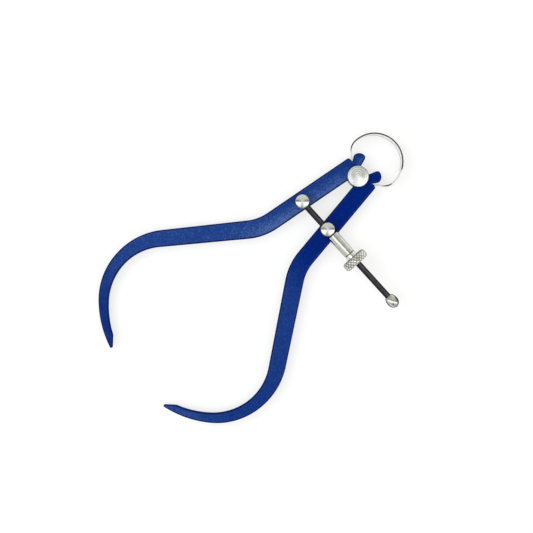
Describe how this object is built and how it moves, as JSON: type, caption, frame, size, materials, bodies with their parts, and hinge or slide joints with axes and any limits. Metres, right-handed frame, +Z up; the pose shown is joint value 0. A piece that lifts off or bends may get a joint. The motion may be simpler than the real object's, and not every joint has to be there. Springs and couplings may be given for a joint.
{
  "type": "outside spring caliper",
  "caption": "Outside spring caliper with two bowed legs, a ring-shaped bow spring, a turned fulcrum and an adjusting screw with a knurled nut and ball end.",
  "frame": {"origin": "on the fulcrum's axis at the underside of its lower cap, which is the resting plane", "axes": "+Z up along the fulcrum's axis with the caliper lying flat; -Y towards the contact points and +Y towards the bow spring; +X along the adjusting screw towards its ball end"},
  "size_m": [0.1154, 0.1771, 0.0155],
  "materials": {
    "blue_enamel": "dark blue baked enamel, slightly mottled, semi-gloss",
    "spring_steel": "bright flat spring steel",
    "turned_steel": "bright turned steel with circular tool marks",
    "black_steel": "blackened threaded steel",
    "nickel_plate": "satin nickel plate"
  },
  "bodies": {
    "fulcrum": {"fulcrum_stud": "turned_steel", "fulcrum_cap": "turned_steel", "bow_spring": "spring_steel"},
    "left_leg": {"left_leg": "blue_enamel"},
    "right_leg": {"right_leg": "blue_enamel"},
    "screw_unit": {"anchor_post": "turned_steel", "anchor_washer": "turned_steel", "adjusting_screw": "black_steel", "ball_end": "nickel_plate"},
    "slide_unit": {"slide_post": "turned_steel", "slide_washer": "turned_steel"},
    "sleeve": {"thrust_sleeve": "nickel_plate"},
    "nut": {"knurled_nut": "nickel_plate"}
  },
  "joints": [
    {"name": "left_leg_hinge", "type": "hinge", "parent": "fulcrum", "child": "left_leg", "pos_m": [0, 0, 0.00375], "axis": [0, 0, -1], "range_deg": [-7.4, 22.5], "deforming": ["bow_spring"]},
    {"name": "right_leg_hinge", "type": "hinge", "parent": "fulcrum", "child": "right_leg", "pos_m": [0, 0, 0.00375], "axis": [0, 0, 1], "range_deg": [-7.4, 22.5], "deforming": ["bow_spring"]},
    {"name": "anchor_swivel", "type": "hinge", "parent": "left_leg", "child": "screw_unit", "pos_m": [-0.0095, -0.0297, 0.00375], "axis": [0, 0, 1], "range_deg": [-7.4, 22.5]},
    {"name": "slide_swivel", "type": "hinge", "parent": "right_leg", "child": "slide_unit", "pos_m": [0.0095, -0.0297, 0.00375], "axis": [0, 0, -1], "range_deg": [-7.4, 22.5]},
    {"name": "sleeve_spin", "type": "hinge", "parent": "slide_unit", "child": "sleeve", "pos_m": [0.0195, -0.0297, 0.0088], "axis": [1, 0, 0], "continuous": true},
    {"name": "nut_turn", "type": "hinge", "parent": "slide_unit", "child": "nut", "pos_m": [0.0305, -0.0297, 0.0088], "axis": [1, 0, 0], "range_deg": [-5180, 15750]}
  ],
  "couplings": [
    {"joint": "right_leg_hinge", "follows": "left_leg_hinge", "ratio": 1},
    {"joint": "anchor_swivel", "follows": "left_leg_hinge", "ratio": 1},
    {"joint": "slide_swivel", "follows": "left_leg_hinge", "ratio": 1},
    {"joint": "nut_turn", "follows": "left_leg_hinge", "ratio": 700}
  ]
}
